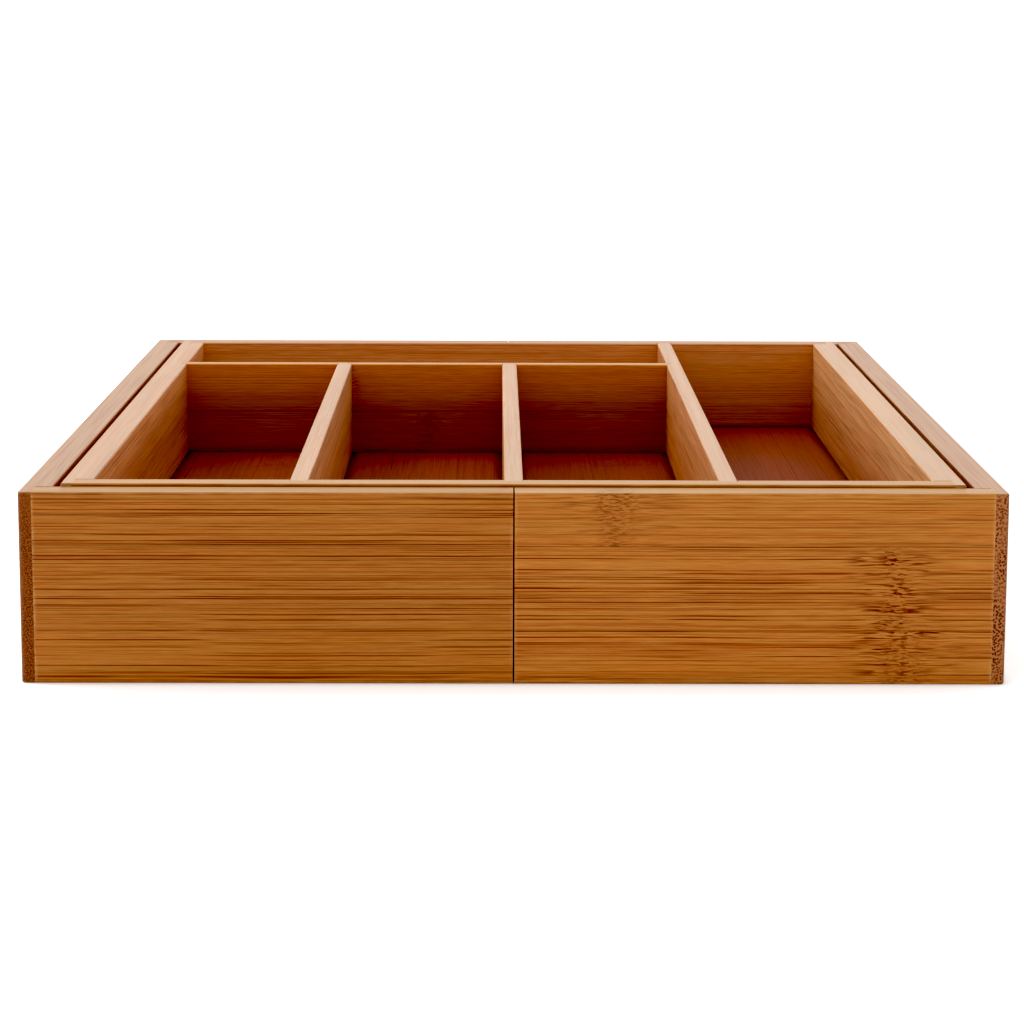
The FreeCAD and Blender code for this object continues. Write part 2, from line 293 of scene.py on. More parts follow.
class Wiring:
    """Adds and links shader nodes, so that a finish reads as plain arithmetic."""

    def __init__(self, tree: bpy.types.NodeTree) -> None:
        """Takes a material's or a world's tree and empties it."""
        self.tree = tree
        tree.nodes.clear()

    def node(self, kind: str, **settings: object) -> bpy.types.Node:
        """Adds a node.

        Args:
            kind: The node's type.
            settings: Its properties, by name.

        Returns:
            The new node.
        """
        added = self.tree.nodes.new(kind)
        for name, setting in settings.items():
            setattr(added, name, setting)
        return added

    def feed(self, socket: Socket, value: Feed | tuple) -> None:
        """Links a socket to another one, or sets its constant.

        Args:
            socket: The input to feed.
            value: An output, a number, a colour or a vector.
        """
        if isinstance(value, bpy.types.NodeSocket):
            self.tree.links.new(value, socket)
        elif isinstance(value, tuple) and socket.type == "RGBA":
            socket.default_value = (*value, 1.0)
        else:
            socket.default_value = value

    def math(self, operation: str, *values: Feed, clamp: bool = False) -> Socket:
        """One step of arithmetic.

        Args:
            operation: The Math node's operation.
            values: Its inputs, in order.
            clamp: Whether the result is held between nought and one.

        Returns:
            The result.
        """
        step = self.node("ShaderNodeMath", operation=operation, use_clamp=clamp)
        for socket, value in zip(step.inputs, values):
            self.feed(socket, value)
        return step.outputs[0]

    def add(self, first: Feed, second: Feed) -> Socket:
        """The sum of two values."""
        return self.math("ADD", first, second)

    def times(self, first: Feed, second: Feed) -> Socket:
        """The product of two values."""
        return self.math("MULTIPLY", first, second)

    def scaled(self, value: Feed, gain: Feed, offset: Feed) -> Socket:
        """A value times a gain, plus an offset."""
        return self.math("MULTIPLY_ADD", value, gain, offset)

    def ramp(self, value: Feed, low: float, high: float, start: float = 0.0, end: float = 1.0) -> Socket:
        """A smooth step from one level to another.

        Args:
            value: What is measured.
            low: Where the step starts.
            high: Where it ends.
            start: The result up to low.
            end: The result from high on.

        Returns:
            The stepped value.
        """
        step = self.node("ShaderNodeMapRange", interpolation_type="SMOOTHSTEP")
        for socket, setting in zip(step.inputs, (value, low, high, start, end)):
            self.feed(socket, setting)
        return step.outputs["Result"]

    def vector(self, x: Feed, y: Feed, z: Feed) -> Socket:
        """Joins three values into a vector.

        Args:
            x: The first value.
            y: The second one.
            z: The third one.

        Returns:
            The vector.
        """
        joined = self.node("ShaderNodeCombineXYZ")
        for socket, value in zip(joined.inputs, (x, y, z)):
            self.feed(socket, value)
        return joined.outputs[0]

    def parts(self, vector: Socket) -> dict[str, Socket]:
        """Splits a vector.

        Args:
            vector: The vector.

        Returns:
            Its parts, by the names of their axes.
        """
        split = self.node("ShaderNodeSeparateXYZ")
        self.feed(split.inputs[0], vector)
        return {axis: split.outputs[axis] for axis in "XYZ"}

    def stretched(self, point: Socket, gains: tuple, offset: float) -> Socket:
        """Scales a point by axis and moves it on, so that two patterns on it differ.

        Args:
            point: The point.
            gains: The scale along each axis.
            offset: How far it is moved, along every axis.

        Returns:
            The new point.
        """
        step = self.node("ShaderNodeVectorMath", operation="MULTIPLY_ADD")
        for socket, value in zip(step.inputs, (point, gains, (offset, offset, offset))):
            self.feed(socket, value)
        return step.outputs[0]

    def noise(self, point: Socket, detail: float = 2.0, twist: float = 0.0) -> Socket:
        """Smooth noise about one half.

        Args:
            point: Where it is read.
            detail: How many finer layers it has.
            twist: How far it is distorted.

        Returns:
            The noise.
        """
        texture = self.node("ShaderNodeTexNoise")
        self.feed(texture.inputs["Vector"], point)
        for name, value in (("Scale", 1.0), ("Detail", detail), ("Roughness", 0.5), ("Distortion", twist)):
            self.feed(texture.inputs[name], value)
        return texture.outputs[0]

    def cloud(self, point: Socket, wave: Wave, seed: float) -> Socket:
        """Noise of one scale along every axis, for one board."""
        return self.noise(self.stretched(point, (wave.scale,) * 3, seed + wave.offset), wave.detail)

    def drawn(self, point: Socket, pattern: Pattern) -> Socket:
        """Noise that is drawn out along the fibres."""
        gains = (pattern.along, pattern.across, pattern.across)
        return self.noise(self.stretched(point, gains, pattern.offset), pattern.detail, pattern.twist)

    def cells(self, point: Socket, scale: float) -> tuple[Socket, Socket]:
        """Scattered points in a plane, one to a cell.

        Args:
            point: Where they are read; its X and Y count.
            scale: How many there are to a unit of length.

        Returns:
            The distance to the nearest one, as a share of a cell, and a random number that is its own.
        """
        texture = self.node("ShaderNodeTexVoronoi", voronoi_dimensions="2D", feature="F1")
        self.feed(texture.inputs["Vector"], point)
        self.feed(texture.inputs["Scale"], scale)
        split = self.node("ShaderNodeSeparateColor")
        self.feed(split.inputs[0], texture.outputs["Color"])
        return texture.outputs["Distance"], split.outputs[0]

    def grey(self, level: Socket) -> Socket:
        """A grey of a given level."""
        return self.vector(level, level, level)

    def mix(self, share: Feed, first: Paint, second: Paint, blend: str = "MIX") -> Socket:
        """Lays one colour over another.

        Args:
            share: How much of the second colour shows.
            first: The colour below.
            second: The colour above.
            blend: The way they mix.

        Returns:
            The mixed colour.
        """
        mixer = self.node("ShaderNodeMix", data_type="RGBA", blend_type=blend)
        sockets = [socket for socket in mixer.inputs if socket.type == "RGBA"]
        self.feed(mixer.inputs[0], share)
        self.feed(sockets[0], first)
        self.feed(sockets[1], second)
        return next(socket for socket in mixer.outputs if socket.type == "RGBA")


@dataclass(frozen=True)
class Fibres:
    """Where a surface point lies in its board, in millimetres, as sockets of the board's material.

    Attributes:
        along: Its place along the fibres.
        point: Along, across and through the board, with a different cane for each strip.
        section: Its place in the cane's cross-section, where the fibre bundles are dots.
        strip: The number of its strip.
        into_strip: How far it is above the strip's lower glue line, as a share of the strip.
        strip_tone: A random number that is the strip's own.
        core: How near it is to the middle of a knuckle.
        skirt: How near it is to a knuckle's frayed surroundings.
        end: Whether it is on end grain.
        edge: Whether it is on a board's narrow edge.
    """

    along: Socket
    point: Socket
    section: Socket
    strip: Socket
    into_strip: Socket
    strip_tone: Socket
    core: Feed
    skirt: Feed
    end: Socket
    edge: Socket


@dataclass(frozen=True)
class BambooFinish:
    """A board glued up from strips of caramelised bamboo, sanded and oiled.

    Attributes:
        name: The material's name.
        grain: How the strips lie.
        tone: Its colours.
        seed: A number that gives each board canes of its own.
        streak_length: How far a fibre bundle runs, in millimetres.
        streak_share: How strong the long bundles are.
        strand_share: How strong the finer strands between them are.
        strip_width: The width of a strip, in millimetres.
        first_glue: The place of one glue line across the board, in millimetres.
        glue_depth: How dark the glue lines are.
        knuckles: The rings of the cane that show.
        shades: Strips that are darker or lighter than the rest, each with its share of light.
        quiet: Strips whose bundles are fainter than the rest, each with its share of strength.
        banding: How far the broad bands across the face differ in light.
        fuzz: How far the short fibres differ in light.
        fuzz_length: How long they are, in millimetres.
        back_light: What is left of the colour on a face that looks to the back, which is painted shade.
        depth_shade: The painted shade that darkens the board towards the floor, if it has one.
        foot: The height where the floor meets it, in millimetres, if a painted contact shadow lies along it
            there.
        carries: The nodes that stand on it, with a painted contact shadow along their feet.
        joint_at: Places along the fibres where a pale line of glue shows at a joint, in millimetres.
        roughness: The roughness of the oiled ground.
        gloss: The strength of its reflections.
        pale: The colour that its narrow edges fade to, their own paler colour together with a painted sheen
            of the light from above.
        end_ground: The ground of its end grain.
        pores: How dark the pores of its end grain are.
        pore_density: How many pores lie on a millimetre of its end grain.
        flank_light: What is left of the colour on a face that looks sideways, which is painted shade; such a
            face is duller too.
    """

    name: str
    grain: Grain
    tone: Tone
    seed: float
    streak_length: float = 160.0
    streak_share: float = 1.0
    strand_share: float = 0.85
    strip_width: float = 22.45
    first_glue: float = 14.4
    glue_depth: float = 0.25
    knuckles: tuple[Knuckle, ...] = ()
    shades: Shares = ()
    quiet: Shares = ()
    banding: float = 0.10
    fuzz: float = 0.8
    fuzz_length: float = 7.0
    back_light: float = 1.0
    depth_shade: DepthShade | None = None
    foot: float | None = None
    carries: tuple[str, ...] = ()
    joint_at: tuple[float, ...] = ()
    roughness: float = 0.42
    gloss: float = 0.3
    pale: Colour = STRAW
    end_ground: Colour = LEFT_END
    pores: float = 1.0
    pore_density: float = 1.8
    flank_light: float = 1.0

    def paint(self, lowest: Vector, highest: Vector) -> bpy.types.Material:
        """Makes the material for a board.

        Args:
            lowest: The board's lowest corner, in metres.
            highest: Its highest corner.

        Returns:
            The material.
        """
        material = bpy.data.materials.new(self.name)
        material.use_nodes = True
        wiring = Wiring(material.node_tree)
        place = wiring.node("ShaderNodeTexCoord")
        normal = place.outputs["Normal"]
        spot = wiring.stretched(place.outputs["Object"], (MM_PER_METRE,) * 3, 0.0)
        fibres = self.lay_fibres(wiring, spot, normal)
        colour, height, rough = self.draw_streaks(wiring, fibres)
        colour = self.draw_joints(wiring, fibres, colour)
        colour = self.draw_ends(wiring, fibres, colour)
        colour = self.draw_painted_shade(wiring, spot, normal, colour)
        worn = self.find_wear(wiring, spot, lowest, highest)
        colour = wiring.mix(wiring.times(worn, WORN_SHARE), colour, GLUE)
        rough = wiring.scaled(worn, WORN_ROUGHNESS, rough)
        gloss: Feed = self.gloss
        # Painted shade on faces that look sideways, with their reflections weakened too
        if self.flank_light < 1.0:
            sideways = wiring.math("ABSOLUTE", wiring.parts(normal)["X"])
            kept = wiring.ramp(sideways, *FLANK_FACING, 1.0, self.flank_light)
            colour = wiring.mix(1.0, colour, wiring.grey(kept), "MULTIPLY")
            gloss = wiring.times(wiring.ramp(sideways, *FLANK_FACING, 1.0, FLANK_GLOSS), self.gloss)
        self.close(wiring, colour, height, rough, gloss)
        return material

    def lay_fibres(self, wiring: Wiring, spot: Socket, normal: Socket) -> Fibres:
        """Finds a surface point's place among the board's strips, fibres and knuckles.

        Args:
            wiring: The material's nodes.
            spot: The point in the tray, in millimetres.
            normal: The way that the surface faces.

        Returns:
            The point's place in the board.
        """
        along_axis, across_axis, through_axis = self.grain.value
        axes = wiring.parts(spot)
        along, across, through = axes[along_axis], axes[across_axis], axes[through_axis]
        steps = wiring.math("DIVIDE", wiring.add(across, -self.first_glue), self.strip_width)
        strip = wiring.math("FLOOR", steps)
        random = wiring.node("ShaderNodeTexWhiteNoise", noise_dimensions="1D")
        wiring.feed(random.inputs["W"], wiring.add(strip, self.seed))
        sway = wiring.cloud(spot, SWAY, self.seed)
        core, skirt = self.find_knuckles(wiring, along, strip, spot)
        swayed = wiring.scaled(sway, SWAY.reach, across)
        if self.knuckles:
            ripple = wiring.cloud(spot, RIPPLE, self.seed)
            ripple = wiring.times(wiring.add(ripple, -0.5), RIPPLE.reach)
            swayed = wiring.scaled(skirt, ripple, swayed)
        deep = wiring.scaled(strip, STRIP_SHIFT, wiring.add(through, self.seed * SEED_SHIFT))
        drift = wiring.cloud(spot, DRIFT, self.seed)
        deep = wiring.scaled(drift, DRIFT.reach / self.streak_length, deep)
        point = wiring.vector(wiring.add(along, self.seed * SEED_RUN), swayed, deep)
        facing = wiring.parts(normal)
        end = wiring.ramp(wiring.math("ABSOLUTE", facing[along_axis]), *END_FACING)
        edge = wiring.ramp(wiring.math("ABSOLUTE", facing[across_axis]), *EDGE_FACING)
        return Fibres(
            along=along,
            point=point,
            section=wiring.vector(swayed, deep, 0.0),
            strip=strip,
            into_strip=wiring.math("FRACT", steps),
            strip_tone=random.outputs["Value"],
            core=core,
            skirt=skirt,
            end=end,
            edge=edge,
        )

    def find_knuckles(
        self, wiring: Wiring, along: Socket, strip: Socket, spot: Socket
    ) -> tuple[Feed, Feed]:
        """Measures how near a point is to the nearest knuckle of its own strip.

        Args:
            wiring: The material's nodes.
            along: The point's place along the fibres.
            strip: The number of its strip.
            spot: The point in the tray.

        Returns:
            The shares of the knuckle's core and of its frayed skirt.
        """
        if not self.knuckles:
            return 0.0, 0.0
        bend = wiring.cloud(spot, BEND, self.seed)
        bent = wiring.scaled(wiring.add(bend, -0.5), BEND.reach, along)
        nearest: Feed = FAR
        for knuckle in self.knuckles:
            gap = wiring.math("ABSOLUTE", wiring.add(bent, -knuckle.along))
            here = wiring.math("COMPARE", strip, float(knuckle.strip), 0.5)
            gap = wiring.scaled(gap, 1.0 / knuckle.spread, wiring.scaled(here, -FAR, FAR))
            nearest = wiring.math("MINIMUM", nearest, gap)
        core = wiring.ramp(nearest, *KNUCKLE_CORE)
        skirt = wiring.ramp(nearest, *KNUCKLE_SKIRT)
        return core, skirt

    def draw_streaks(self, wiring: Wiring, fibres: Fibres) -> tuple[Socket, Socket, Socket]:
        """Draws the fibres of a long face.

        Args:
            wiring: The material's nodes.
            fibres: The point's place in the board.

        Returns:
            The colour, the height and the roughness.
        """
        hair = wiring.drawn(fibres.point, Pattern(1.0 / self.fuzz_length, HAIR_DENSITY, HAIR_OFFSET))
        dark, halo, fine, chip = self.find_bundles(wiring, fibres)
        strength = self.find_strength(wiring, fibres)
        streaks = wiring.math("MULTIPLY", dark, strength, clamp=True)
        redness = wiring.ramp(wiring.drawn(fibres.point, TINTS), *TINT_TURN)
        colour = wiring.mix(redness, self.tone.honey, self.tone.ruddy)
        # The narrow edges fade to their pale colour, which carries a painted sheen of the light from above
        colour = wiring.mix(wiring.times(fibres.edge, PALE_ON_EDGE), colour, self.pale)
        beside = wiring.times(wiring.times(halo, strength), HALO_SHARE)
        colour = wiring.mix(beside, colour, self.tone.streak)
        kept = wiring.scaled(fibres.edge, -STRAND_EDGE_LOSS * self.strand_share, self.strand_share)
        colour = wiring.mix(wiring.times(fine, kept), colour, self.tone.streak)
        colour = wiring.mix(streaks, colour, self.tone.deep)
        if self.knuckles:
            knot = wiring.times(fibres.core, wiring.scaled(chip, KNOT_CHIP_SHARE, KNOT_SHARE))
            colour = wiring.mix(knot, colour, self.tone.deep)
        fleck = wiring.ramp(wiring.drawn(fibres.point, FLECKS), *FLECK_CUT)
        fleck = wiring.times(fleck, fibres.edge)
        colour = wiring.mix(wiring.times(fleck, FLECK_SHARE), colour, self.tone.streak)
        colour = wiring.mix(1.0, colour, self.find_fuzz(wiring, fibres, hair), "MULTIPLY")
        glue = self.find_glue(wiring, fibres)
        light = self.find_light(wiring, fibres, glue)
        colour = wiring.mix(1.0, colour, wiring.grey(light), "MULTIPLY")
        height = wiring.scaled(hair, HAIR_RELIEF, wiring.times(fine, FINE_RELIEF))
        height = wiring.scaled(streaks, STREAK_RELIEF, height)
        height = wiring.scaled(glue, GLUE_RELIEF, height)
        rough = wiring.scaled(hair, HAIR_ROUGHNESS, self.roughness - HAIR_ROUGHNESS * 0.5)
        rough = wiring.scaled(streaks, BUNDLE_ROUGHNESS, rough)
        return colour, height, rough

    def find_bundles(self, wiring: Wiring, fibres: Fibres) -> tuple[Socket, Socket, Socket, Feed]:
        """Finds the fibre bundles, which break up into dashes and chips at a knuckle.

        Args:
            wiring: The material's nodes.
            fibres: The point's place in the board.

        Returns:
            The shares of a bundle, of the wood beside it, of a finer strand and of a knuckle's chips.
        """
        bundle, own = wiring.cells(fibres.section, BUNDLE_DENSITY)
        strand, lone = wiring.cells(fibres.section, STRAND_DENSITY)
        weight = wiring.ramp(own, *BUNDLE_WEIGHT)
        dark = wiring.times(wiring.ramp(bundle, *BUNDLE_CORE), weight)
        halo = wiring.times(wiring.ramp(bundle, *BUNDLE_HALO), weight)
        fine = wiring.times(wiring.ramp(strand, *STRAND_CORE), wiring.ramp(lone, *STRAND_WEIGHT))
        if not self.knuckles:
            return dark, halo, fine, 0.0
        dash = wiring.ramp(wiring.drawn(fibres.point, DASHES), *DASH_CUT)
        chip = wiring.ramp(wiring.drawn(fibres.point, CHIPS), *CHIP_CUT)
        frayed = wiring.scaled(fibres.core, wiring.math("SUBTRACT", chip, dash), dash)
        dark = wiring.scaled(fibres.skirt, wiring.math("SUBTRACT", frayed, dark), dark)
        halo = wiring.scaled(fibres.skirt, wiring.math("SUBTRACT", frayed, halo), halo)
        return dark, halo, fine, chip

    def find_strength(self, wiring: Wiring, fibres: Fibres) -> Socket:
        """Finds how strong the bundles are, which differs by patch, by strip and by face.

        Args:
            wiring: The material's nodes.
            fibres: The point's place in the board.

        Returns:
            The strength.
        """
        strength = wiring.ramp(wiring.drawn(fibres.point, PATCHES), *PATCH_STRENGTH)
        kept = wiring.scaled(fibres.edge, -BUNDLE_EDGE_LOSS * self.streak_share, self.streak_share)
        strength = self.by_strip(wiring, fibres, wiring.times(strength, kept), self.quiet)
        if self.knuckles:
            strength = wiring.times(strength, wiring.scaled(fibres.core, -KNOT_LOSS, 1.0))
        return strength

    def find_glue(self, wiring: Wiring, fibres: Fibres) -> Socket:
        """Finds the glue lines between the strips.

        Args:
            wiring: The material's nodes.
            fibres: The point's place in the board.

        Returns:
            The share of glue.
        """
        off_middle = wiring.math("ABSOLUTE", wiring.add(fibres.into_strip, -0.5))
        start, full = (0.5 - width / self.strip_width for width in GLUE_WIDTHS)
        return wiring.ramp(off_middle, start, full)

    def find_fuzz(self, wiring: Wiring, fibres: Fibres, hair: Socket) -> Socket:
        """Finds the tint of the short fibres, which are the redder the darker they are.

        Args:
            wiring: The material's nodes.
            fibres: The point's place in the board.
            hair: The noise of the short fibres.

        Returns:
            The tint.
        """
        reach = wiring.scaled(fibres.edge, -FUZZ_EDGE_LOSS * self.fuzz, self.fuzz)
        fuzz = wiring.times(wiring.add(hair, -0.5), reach)
        return wiring.vector(*(wiring.scaled(fuzz, share, MEAN_LIGHT) for share in FUZZ_SHARES))

    def find_light(self, wiring: Wiring, fibres: Fibres, glue: Socket) -> Socket:
        """Finds how light the wood is, which differs by band and by strip.

        Args:
            wiring: The material's nodes.
            fibres: The point's place in the board.
            glue: The share of glue.

        Returns:
            The light.
        """
        band = wiring.drawn(fibres.point, Pattern(1.0 / self.streak_length, BAND_DENSITY, BAND_OFFSET))
        light = wiring.scaled(band, self.banding, MEAN_LIGHT - self.banding * 0.5)
        light = wiring.times(light, wiring.scaled(fibres.strip_tone, STRIP_SPREAD, 1.0 - STRIP_SPREAD * 0.5))
        light = self.by_strip(wiring, fibres, light, self.shades)
        return wiring.times(light, wiring.scaled(glue, -self.glue_depth, 1.0))

    def by_strip(self, wiring: Wiring, fibres: Fibres, value: Socket, shares: Shares) -> Socket:
        """Changes a value on some of the strips.

        Args:
            wiring: The material's nodes.
            fibres: The point's place in the board.
            value: The value on every strip.
            shares: The strips' numbers, each with what is left of the value there.

        Returns:
            The changed value.
        """
        for strip, share in shares:
            here = wiring.math("COMPARE", fibres.strip, float(strip), 0.5)
            value = wiring.times(value, wiring.scaled(here, share - 1.0, 1.0))
        return value

    def draw_joints(self, wiring: Wiring, fibres: Fibres, colour: Socket) -> Socket:
        """Draws the specks of pale glue where a board's end meets a lip.

        Args:
            wiring: The material's nodes.
            fibres: The point's place in the board.
            colour: The colour so far.

        Returns:
            The colour with the joints.
        """
        for place in self.joint_at:
            gap = wiring.math("ABSOLUTE", wiring.add(fibres.along, -place))
            speck = wiring.ramp(wiring.drawn(fibres.point, SPECKS), *SPECK_CUT)
            squeezed = wiring.times(wiring.ramp(gap, *JOINT_WIDTH), speck)
            colour = wiring.mix(wiring.times(squeezed, JOINT_SHARE), colour, GLUE)
        return colour

    def draw_ends(self, wiring: Wiring, fibres: Fibres, colour: Socket) -> Socket:
        """Draws the pores of the end grain over the faces that are cut across the fibres.

        Args:
            wiring: The material's nodes.
            fibres: The point's place in the board.
            colour: The colour so far.

        Returns:
            The colour with the end grain.
        """
        crowd = wiring.noise(wiring.stretched(fibres.section, CROWD_DENSITY, CROWD_OFFSET), 1.0)
        pore, _ = wiring.cells(fibres.section, self.pore_density)
        pore = wiring.ramp(pore, *PORE_CORE)
        depth = wiring.ramp(crowd, *PORE_CROWD, SPARSE_PORE_SHARE * self.pores, self.pores)
        pore = wiring.times(pore, depth)
        cut = wiring.mix(pore, self.end_ground, END_PORE)
        return wiring.mix(fibres.end, colour, cut)

    def draw_painted_shade(self, wiring: Wiring, spot: Socket, normal: Socket, colour: Socket) -> Socket:
        """Paints shade: darker low on a board and on faces that look to the back, with a painted contact
        shadow where boards meet the floor.

        Args:
            wiring: The material's nodes.
            spot: The point in the tray, in millimetres.
            normal: The way that the surface faces.
            colour: The colour so far.

        Returns:
            The colour with the stain.
        """
        axes = wiring.parts(spot)
        # Painted shade, darker towards the floor where less light reaches
        if self.depth_shade:
            sunk_shade = wiring.ramp(axes["Z"], self.depth_shade.low, self.depth_shade.high, 1.0, 0.0)
            colour = wiring.mix(sunk_shade, colour, self.depth_shade.tint, "MULTIPLY")
        if self.back_light < 1.0:
            # Painted shade on faces that look to the back
            behind = wiring.ramp(wiring.parts(normal)["Y"], *BACK_FACING)
            colour = wiring.mix(behind, colour, (self.back_light,) * 3, "MULTIPLY")
        # Painted contact shadow along the board's foot, over the dark joint there
        if self.foot:
            gap = wiring.math("ABSOLUTE", wiring.add(axes["Z"], -self.foot))
            colour = wiring.mix(wiring.ramp(gap, *FOOT_SHADOW), colour, SHADOW_AND_JOINT)
        # Painted contact shadow round the feet of the boards that stand on this one
        if self.carries:
            nearest: Feed = FAR
            for node in self.carries:
                gaps = []
                for axis, low, high in zip("XY", *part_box(node)):
                    off = wiring.add(axes[axis], -(low + high) * 0.5 * MM_PER_METRE)
                    reach = (high - low) * 0.5 * MM_PER_METRE
                    gaps.append(wiring.math("SUBTRACT", wiring.math("ABSOLUTE", off), reach))
                nearest = wiring.math("MINIMUM", nearest, wiring.math("MAXIMUM", *gaps))
            colour = wiring.mix(wiring.ramp(nearest, *CORNER_SHADOW), colour, SHADOW_AND_JOINT)
        return colour

    def find_wear(self, wiring: Wiring, spot: Socket, lowest: Vector, highest: Vector) -> Socket:
        """Finds the rubbed arrises, from the distance to the two nearest faces of the board's box.

        Args:
            wiring: The material's nodes.
            spot: The point in the tray, in millimetres.
            lowest: The board's lowest corner, in metres.
            highest: Its highest corner.

        Returns:
            How worn the point is.
        """
        middle = (lowest + highest) * 0.5 * MM_PER_METRE
        half = (highest - lowest) * 0.5 * MM_PER_METRE
        axes = wiring.parts(spot)
        depths = []
        for axis, centre, reach in zip("XYZ", middle, half):
            away = wiring.math("ABSOLUTE", wiring.add(axes[axis], -centre))
            depths.append(wiring.math("SUBTRACT", reach, away))
        pairs = ((0, 1), (1, 2), (0, 2))
        edges = [wiring.math("MAXIMUM", depths[one], depths[other]) for one, other in pairs]
        edge = wiring.math("MINIMUM", wiring.math("MINIMUM", edges[0], edges[1]), edges[2])
        rub = wiring.cloud(spot, RUB, self.seed)
        return wiring.times(wiring.ramp(edge, *ARRIS_WIDTH), wiring.ramp(rub, *RUB_CUT))

    def close(self, wiring: Wiring, colour: Socket, height: Socket, rough: Socket, gloss: Feed) -> None:
        """Joins the colour, the relief and the gloss in one shader.

        Args:
            wiring: The material's nodes.
            colour: The base colour.
            height: The relief of the fibres.
            rough: The roughness.
            gloss: The strength of the reflections.
        """
        relief = wiring.node("ShaderNodeBump")
        wiring.feed(relief.inputs["Strength"], RELIEF_STRENGTH)
        wiring.feed(relief.inputs["Distance"], RELIEF_DEPTH * METRES_PER_MM)
        wiring.feed(relief.inputs["Height"], height)
        shader = wiring.node("ShaderNodeBsdfPrincipled")
        wiring.feed(shader.inputs["Base Color"], colour)
        wiring.feed(shader.inputs["Roughness"], rough)
        wiring.feed(shader.inputs["Normal"], relief.outputs[0])
        wiring.feed(shader.inputs["IOR"], OIL_INDEX)
        wiring.feed(shader.inputs["Specular IOR Level"], gloss)
        output = wiring.node("ShaderNodeOutputMaterial")
        wiring.feed(output.inputs["Surface"], shader.outputs[0])


def dress(node: str, finish: BambooFinish) -> None:
    """Gives a CAD node a finish on all its material slots.

    Args:
        node: The node's name.
        finish: Its finish.
    """
    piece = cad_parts[node]
    material = finish.paint(*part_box(node))
    if not piece.material_slots:
        piece.data.materials.append(material)
    for slot in piece.material_slots:
        slot.material = material
    LOG.info("%s: %s", node, finish.name)


@dataclass
class CentreTray:
    """The divided tray in the middle, which stays still.

    Attributes:
        strip_width: The width of the cane strips in its boards, in millimetres.
    """

    strip_width: float = 22.45

    @property
    def floor_height(self) -> float:
        """The height of its floor's upper face, in millimetres."""
        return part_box("centre_floor")[1].z * MM_PER_METRE

    def dress_rim(self) -> None:
        """Dresses the front, the back and the two side walls."""
        ends = (
            ("centre_front_board", 2.0, FRONT_TONE, OCHRE, 0.85),
            ("centre_back_board", 3.0, BACK_TONE, SHADED_OCHRE, 0.45),
        )
        # Painted shade that darkens the end boards towards the floor, and on their faces that look to the
        # back
        end_depth_shade = DepthShade(self.floor_height, 53.0, (0.66, 0.56, 0.50))
        for node, seed, tone, pale, strand_share in ends:
            dress(node, BambooFinish(
                f"{node}_bamboo", Grain.SIDEWAYS, tone, seed, strip_width=self.strip_width, first_glue=28.6,
                streak_share=0.35, strand_share=strand_share, pale=pale, shades=((-1, 0.88),),
                foot=self.floor_height, back_light=0.65, depth_shade=end_depth_shade,
            ))
        # Each wall with its painted shade towards the floor
        walls = (
            ("centre_left_wall", 4.0, LEFT_WALL_TONE, DepthShade(38.0, 51.5, (0.71, 0.57, 0.52))),
            ("centre_right_wall", 5.0, RIGHT_WALL_TONE, DepthShade(25.0, 51.0, (0.73, 0.52, 0.45))),
        )
        for node, seed, tone, depth_shade in walls:
            dress(node, BambooFinish(
                f"{node}_bamboo", Grain.LENGTHWAYS, tone, seed, streak_length=120.0,
                strip_width=self.strip_width, first_glue=31.0, glue_depth=0.2, streak_share=0.65,
                banding=0.35, fuzz=1.4, fuzz_length=50.0, depth_shade=depth_shade, end_ground=RIM_END, pores=0.3,
            ))

    def dress_dividers(self) -> None:
        """Dresses the three long dividers and the cross divider."""
        # Painted shade that darkens the dividers towards the floor
        depth_shade = DepthShade(25.0, 51.0, (0.86, 0.66, 0.50))
        for node, seed in (("left_divider", 6.0), ("middle_divider", 7.0), ("right_divider", 8.0)):
            dress(node, BambooFinish(
                f"{node}_bamboo", Grain.LENGTHWAYS, DIVIDER_TONE, seed, streak_length=120.0,
                strip_width=self.strip_width, first_glue=34.0, glue_depth=0.2, streak_share=0.6,
                banding=0.35, fuzz=1.4, fuzz_length=50.0, foot=self.floor_height, depth_shade=depth_shade,
            ))
        # The cross divider darkens towards the floor with painted shade, and has a painted contact shadow at
        # its foot
        rings = (Knuckle(-1, -28.7), Knuckle(0, -54.0, 0.7))
        dress("rear_cross_divider", BambooFinish(
            "rear_cross_divider_bamboo", Grain.SIDEWAYS, DARK_TONE, 9.0, strip_width=self.strip_width,
            first_glue=35.2, streak_share=0.28, strand_share=0.40, knuckles=rings, pale=OCHRE,
            foot=self.floor_height, depth_shade=DepthShade(34.0, 51.0, (0.53, 0.53, 0.53)),
        ))

    def dress_floor(self) -> None:
        """Dresses the floor panel."""
        # The floor's tone is darkened with painted shade, and a painted contact shadow lies round the feet
        # of the boards that stand on it
        rings = (Knuckle(-4, 62.0), Knuckle(1, 64.0))
        carries = (
            "centre_front_board", "centre_back_board", "centre_left_wall", "centre_right_wall",
            "left_divider", "middle_divider", "right_divider", "rear_cross_divider",
        )
        dress("centre_floor", BambooFinish(
            "centre_floor_bamboo", Grain.FLAT, SHADED_FLOOR_TONE, 10.0, strip_width=self.strip_width,
            first_glue=5.0, glue_depth=0.2, streak_share=0.4, knuckles=rings, roughness=0.6, gloss=0.1,
            carries=carries,
        ))


